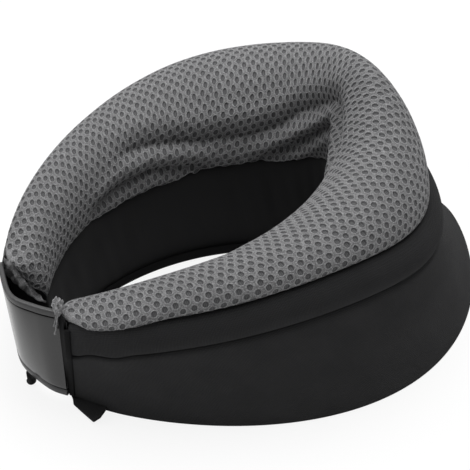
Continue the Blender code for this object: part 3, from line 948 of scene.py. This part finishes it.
def mesh_flap(side, first, last):
    """Folded edge of the mesh below the slit of an arm's end, pleated by its stitching."""
    tip = arm_tip(side)

    def place(a, b):
        spot = first + (last - first) * a
        chord = tip[BAND_TOP].lerp(tip[ROLL_INNER], spot)
        bow = math.sin(math.pi * a)
        rise = 0.8 * slit_lift(spot) * smooth(spot / 0.3) * smooth((1 - spot) / 0.26)
        drop = FLAP_DROP * (1 - 0.87 * spot) * smooth((a + 0.06) / 0.2)
        pleat = 0.45 * math.sin(34 * a + 5 * b) + 0.9 * noise.noise((9 * a, 4 * b, 0.5))
        pleat += 0.5 * noise.noise((28 * a, 13 * b, 2))
        puff = 2.0 + (4.2 * math.sin(math.pi * (0.12 + 0.7 * b)) + pleat) * math.sqrt(max(bow, 0))
        return chord + UP * (rise - b * (rise + drop)) + TIP_NORMAL * puff

    return patch(60, 24, place, (26, 12))


def crumple(bm, foot, top, foot_radius, top_radius):
    """Crumpled lump of mesh between two points."""
    lump = bmesh.ops.create_icosphere(bm, subdivisions=4, radius=1)["verts"]
    for vert in lump:
        spot = vert.co.normalized()
        share = (spot.z + 1) / 2
        radius = foot_radius + (top_radius - foot_radius) * share
        fold = 0.22 * math.sin(5 * math.atan2(spot.y, spot.x) + 4 * spot.z)
        fold += 0.55 * noise.fractal(spot * 1.9, 0.8, 2.0, 3)
        vert.co = foot.lerp(top, share) + spot * radius * (1 + fold)


def thread_end(bm, start, end, radius):
    """Cut thread that hangs from the gathered mesh, with a frayed tip."""
    strand = bmesh.ops.create_grid(bm, x_segments=18, y_segments=8, size=0.5)["verts"]
    for vert in strand:
        share, angle = vert.co.x + 0.5, 2 * math.pi * vert.co.y
        wander = Vector((noise.noise((share * 4, 1, 0)), noise.noise((share * 4, 2, 0)), 0))
        thick = radius * (1 + 0.9 * smooth((share - 0.75) / 0.2)) * min(1, 8 * math.sin(math.pi * share))
        around = Vector((math.cos(angle), math.sin(angle), 0))
        vert.co = start.lerp(end, share) + wander * 0.8 * share + around * thick
    bmesh.ops.remove_doubles(bm, verts=strand, dist=0.01)


def lay_upright(bm, weave):
    """Give loops that have no weave yet one that runs across and up."""
    for face in bm.faces:
        for loop in face.loops:
            if not loop[weave].uv.length:
                x, y, z = loop.vert.co
                loop[weave].uv = (x + y, z)


def mesh_tuft(side, flip):
    """Gathered mesh that closes an arm's end; on the near arm a tuft stands over it."""
    if side == "near":
        bm = mesh_flap(side, *FLAP_SPAN)
        crumple(bm, end_place(*TUFT_FOOT), end_place(*TUFT_TOP), TUFT_FOOT_RADIUS, TUFT_TOP_RADIUS)
        lay_upright(bm, bm.loops.layers.uv.active)
    else:
        bm = mesh_flap(side, 0.0, 1.0)
        for vert in bm.verts:
            vert.co = flip(vert.co)
        bmesh.ops.reverse_faces(bm, faces=bm.faces)
    # The gathered mesh is held near the brightest thread tone, with noise: partly the yarn's own colour,
    # partly painted light that brightens it in the roll's shade.
    ring = bm.verts.layers.float.new("ring")
    for vert in bm.verts:
        vert[ring] = 0.5 + 0.6 * noise.noise(vert.co * 1.3)
    tuft = finish(side + "_mesh_tuft", bm, (STRANDS,))
    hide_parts(side + "_mesh_gather")


def loose_threads():
    """Cut threads of the near tuft that hang over the strap."""
    bm = bmesh.new()
    weave = bm.loops.layers.uv.new("weave")
    ring = bm.verts.layers.float.new("ring")
    for (start, end), radius in ((LONG_THREAD, LONG_THREAD_RADIUS), (SHORT_THREAD, SHORT_THREAD_RADIUS)):
        thread_end(bm, end_place(*start), end_place(*end), radius)
    lay_upright(bm, weave)
    mark_ring(bm.faces, ring, 0.5)
    threads = finish("near_thread_ends", bm, (STRANDS,), body=None)
    end_place(3, 4.4, 61) * MM
    end_place(3, 5.2, 55) * MM
    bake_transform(threads)


loose_threads()
for side_name, turn_over in (("near", lambda point: point), ("far", mirrored)):
    end_panel(side_name, turn_over)
    end_binding(side_name, turn_over)
    mesh_tuft(side_name, turn_over)


def hem_tail(side, inner_edge, outer_edge, lift):
    """Loose end of the hem tape between two edges, lying by the ground."""
    def edge_point(edge, share):
        spot = share * (len(edge) - 1)
        k = min(int(spot), len(edge) - 2)
        return edge[k].lerp(edge[k + 1], spot - k)

    def place(a, b):
        point = edge_point(inner_edge, a).lerp(edge_point(outer_edge, a), b)
        point.z = TAIL_HEIGHT + lift * a * a + TAIL_WAVE * math.sin(4 * a + 3 * b)
        return point

    bm = patch(20, 10, place, TAIL_SIZE)
    if sum(face.normal.z for face in bm.faces) < 0:
        bmesh.ops.reverse_faces(bm, faces=bm.faces)
    if side == "far":
        knob = bmesh.ops.create_icosphere(bm, subdivisions=3, radius=1)["verts"]
        middle = (inner_edge[-1] + outer_edge[-1]) / 2
        for vert in knob:
            fold = 1 + 0.3 * noise.noise(vert.co * 1.6)
            x, y, z = vert.co
            lump = Vector((KNOB_RADIUS * x, KNOB_RADIUS * y, KNOB_HEIGHT + KNOB_HALF * z))
            vert.co = middle + lump * fold
    # The tails take the lighter copy of the binding tape, which is painted light.
    tail = finish(side + "_tape_tail", bm, (TAIL_TAPE_PAINTED_LIGHT,), thickness=1.2, levels=1)
    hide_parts(side + "_hem_tail")


tail_foot = HEM.at(0)
tail_run = (HEM.at(0.12) - tail_foot).normalized()
tail_out = Vector((tail_run.y, -tail_run.x, 0))
far_ahead = mirrored(TIP_NORMAL)
far_across = Vector((-far_ahead.y, far_ahead.x, 0))


def near_tail_point(forward, outward):
    return tail_foot + tail_run * forward + tail_out * outward


def far_tail_point(across, ahead):
    return mirrored(tail_foot) + far_across * across + far_ahead * ahead


hem_tail("near", *([near_tail_point(*spot) for spot in edge] for edge in NEAR_TAIL), NEAR_TAIL_LIFT)
hem_tail("far", *([far_tail_point(*spot) for spot in edge] for edge in FAR_TAIL), FAR_TAIL_LIFT)


# Strap


def arm_side(line, distance):
    """Plan point of the near arm at a distance along its mesh seam, and its outward normal."""
    step = 0.002
    share, travelled = 0.0, 0.0
    while travelled < distance:
        travelled += (ROLL.at(share + step) - ROLL.at(share)).length
        share += step
    run = (line.at(share + 0.01) - line.at(share)).normalized()
    return share, line.at(share), Vector((run.y, -run.x, 0))


def strap_route(root, bends, line, bulges, corner):
    """Middle line of the strap in plan, from its sewn root round the front to the far arm."""
    knots = [end_place(*root, 0)] + [Vector((*bend, 0)) for bend in bends]
    for distance in (0, STRAP_GRIP / 2, STRAP_GRIP):
        share, seam, out = arm_side(line, distance)
        seat = STRAP_SEAT + along(bulges, share) + STRAP_EASE if distance else corner
        knots.append(mirrored(seam + out * seat))
    points = []
    for k in range(len(knots) - 1):
        start, end = knots[k], knots[k + 1]
        before = knots[k - 1] if k else start
        after = knots[k + 2] if k + 2 < len(knots) else end
        for step in range(ROUTE_STEPS):
            lead = start + (end - before) / 6
            trail = end - (after - start) / 6
            points.append(bezier(start, lead, trail, end, step / ROUTE_STEPS))
    return points + [knots[-1]]


TOP_ROUTE = strap_route(STRAP_ROOT_TOP, STRAP_BENDS_TOP, BAND, BAND_BULGE, STRAP_CORNER_TOP)
FOOT_ROUTE = strap_route(STRAP_ROOT_FOOT, STRAP_BENDS_FOOT, HEM, (STRAP_BELLY, STRAP_BELLY),
                         STRAP_CORNER_FOOT)
ROUTE_END = len(TOP_ROUTE) - 1


def strap_point(place, height, offset):
    """Point of the strap at a share of its route, a height and an offset from its middle.

    On the far arm the strap narrows to a tongue.
    """
    spot = min(max(place, 0), 1) * ROUTE_END
    narrow = smooth((spot / ROUTE_STEPS - TONGUE_START) / TONGUE_FADE)
    height = TONGUE_MIDDLE + (height - TONGUE_MIDDLE) * (1 - (1 - TONGUE_SHARE) * narrow)
    share = (height - STRAP_FOOT) / STRAP_HEIGHT
    k = min(int(spot), ROUTE_END - 1)

    def middle(line):
        line = min(max(line, 0), ROUTE_END)
        return FOOT_ROUTE[line].lerp(TOP_ROUTE[line], share)

    here = middle(k).lerp(middle(k + 1), spot - k)
    run = (middle(k + 1) - middle(k - 1)).lerp(middle(k + 2) - middle(k), spot - k)
    outward = Vector((-run.y, run.x, 0)).normalized()
    return here + outward * offset + UP * height


STRAP_LENGTH = sum((TOP_ROUTE[k + 1] - TOP_ROUTE[k]).length for k in range(ROUTE_END))


def strip(name, heights, offsets, rounding, material, span=(0, 1), body="strap"):
    """Closed strip along the strap with rounded edges, between two heights and two offsets."""
    foot, top = heights
    inner, outer = offsets
    first, last = span

    def place(a, b):
        angle = 2 * math.pi * b
        height = (foot + top) / 2 + (top - foot) / 2 * squared(math.cos(angle), rounding)
        offset = (inner + outer) / 2 + (outer - inner) / 2 * squared(math.sin(angle), rounding)
        return strap_point(first + (last - first) * a, height, offset)

    bm = patch(110, 40, place, (STRAP_LENGTH, 2 * (top - foot)), closed=True)
    return finish(name, bm, (material,), body=body, levels=1)


SHEET_FOOT, SHEET_TOP = STRAP_FOOT + EDGING_HEIGHT, STRAP_TOP - EDGING_HEIGHT
strap_face = strip("strap_band", (SHEET_FOOT + FACE_GAP, SHEET_TOP - FACE_GAP), (0.0, STRAP_HALF),
                   SHEET_ROUNDING, LEATHER)
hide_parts("strap_face")
strap_back = strip("strap_back", (SHEET_FOOT - BACK_LAP, SHEET_TOP + BACK_LAP), (-STRAP_HALF, -BACK_GAP),
                   SHEET_ROUNDING, LEATHER)
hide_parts("strap_lining")
for edge_name, edge_foot in (("upper", SHEET_TOP), ("lower", STRAP_FOOT)):
    edging = strip("strap_" + edge_name + "_rim", (edge_foot, edge_foot + EDGING_HEIGHT),
                   (-STRAP_HALF, STRAP_HALF), RIM_ROUNDING, EDGE_LEATHER)
    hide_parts("strap_" + edge_name + "_edging")


def corner_at(tip, height):
    """Point of an arm's outer corner at a height."""
    k = 0
    while k < BAND_TOP - 1 and tip[k + 1].z < height:
        k += 1
    point = tip[k].lerp(tip[k + 1], min((height - tip[k].z) / (tip[k + 1].z - tip[k].z), 1))
    point.z = height
    return point


def root_tab():
    """Tape that sews the strap's root to the corner of the near arm."""
    def place(a, b):
        angle = 2 * math.pi * b
        foot = STRAP_FOOT + TAB_INSET
        top = STRAP_TOP - TAB_INSET - TAB_SLOPE * (1 - a)
        height = (foot + top) / 2 + (top - foot) / 2 * squared(math.cos(angle), 0.15)
        share = (height - STRAP_FOOT) / STRAP_HEIGHT
        ends = zip(STRAP_ROOT_FOOT, STRAP_ROOT_TOP)
        inset, standoff = (low + (high - low) * share for low, high in ends)
        start = corner_at(SKIN[0], height) + TIP_NORMAL * 0.7
        half = (0.7 + 0.5 * a) * squared(math.sin(angle), 0.4)
        return start.lerp(end_place(inset + 0.5, standoff, height), a) + TIP_NORMAL * half

    tab = finish("strap_root_tab", patch(16, 72, place, (7, 120), closed=True), (TAPE,), body=None)
    end_place(4, 0.6, 30) * MM
    end_place(4, 1.8, 30) * MM
    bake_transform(tab)


root_tab()
TAPE_HEIGHTS = (STRAP_FOOT + TAPE_INSET, STRAP_TOP - TAPE_INSET)
hook = strip("hook_strip", TAPE_HEIGHTS, (-STRAP_HALF - HOOK_BACK, -STRAP_HALF - HOOK_FACE),
             TAPE_ROUNDING, HOOKS, TAPE_SPAN)
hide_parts("hook_patch")
loop_strip = strip("loop_strip", TAPE_HEIGHTS, (-STRAP_HALF - LOOP_BACK, -STRAP_HALF - LOOP_FACE),
                   TAPE_ROUNDING, HOOKS, TAPE_SPAN, body="collar")
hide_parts("loop_patch")


# Camera, light and floor


def area_light(name, place, target, width, height, power):
    lamp = bpy.data.lights.new(name, "AREA")
    lamp.shape = "RECTANGLE"
    lamp.size, lamp.size_y = width, height
    lamp.energy = power
    light = bpy.data.objects.new(name, lamp)
    light.location = place
    light.rotation_euler = (Vector(target) - Vector(place)).to_track_quat("-Z", "Y").to_euler()
    bpy.context.collection.objects.link(light)


def seen_directly(tree):
    """1 for the camera, reflections and clear material, and 0 for the light that falls on the rest."""
    ray = add(tree, "LightPath", {})
    seen = calc(tree, "MAXIMUM", ray.outputs["Is Camera Ray"], ray.outputs["Is Glossy Ray"])
    return calc(tree, "MAXIMUM", seen, ray.outputs["Is Transmission Ray"])


def photo_camera():
    lens = bpy.data.cameras.new("camera")
    lens.lens = CAMERA_LENS
    lens.sensor_width = CAMERA_SENSOR
    camera = bpy.data.objects.new("camera", lens)
    camera.location = CAMERA_PLACE
    camera.rotation_euler = (CAMERA_AIM - CAMERA_PLACE).to_track_quat("-Z", "Y").to_euler()
    bpy.context.collection.objects.link(camera)
    bpy.context.scene.camera = camera


def white_world():
    world = bpy.data.worlds.new("studio_white")
    bpy.context.scene.world = world
    world.use_nodes = True
    tree = world.node_tree
    strength = add(tree, "MapRange", {0: seen_directly(tree), 3: WORLD_LIGHT, 4: 1.0})
    background = tree.nodes["Background"]
    background.inputs["Color"].default_value = (1, 1, 1, 1)
    tree.links.new(strength.outputs[0], background.inputs["Strength"])


def white_floor():
    bm = bmesh.new()
    bmesh.ops.create_grid(bm, x_segments=1, y_segments=1, size=4)
    floor = link_mesh("floor", bm)
    material, tree, shader = new_finish("white_floor", (0.92, 0.92, 0.92), 0.9)
    glow = add(tree, "Emission", {"Color": (1, 1, 1, 1), "Strength": 1.0})
    share = calc(tree, "MULTIPLY", seen_directly(tree), FLOOR_GLOW)
    mix = add(tree, "MixShader", {0: share, 1: shader.outputs[0], 2: glow.outputs[0]})
    tree.links.new(mix.outputs[0], tree.nodes["Material Output"].inputs[0])
    floor.data.materials.append(material)


photo_camera()
area_light("top_softbox", (-0.18, 0.17, 1.18), LIGHT_AIM, 1.0, 1.0, 17.5)
area_light("front_softbox", (-0.65, -1.0, 0.6), LIGHT_AIM, 0.7, 0.7, 5)
white_world()
white_floor()
bpy.context.scene.view_settings.view_transform = "Standard"
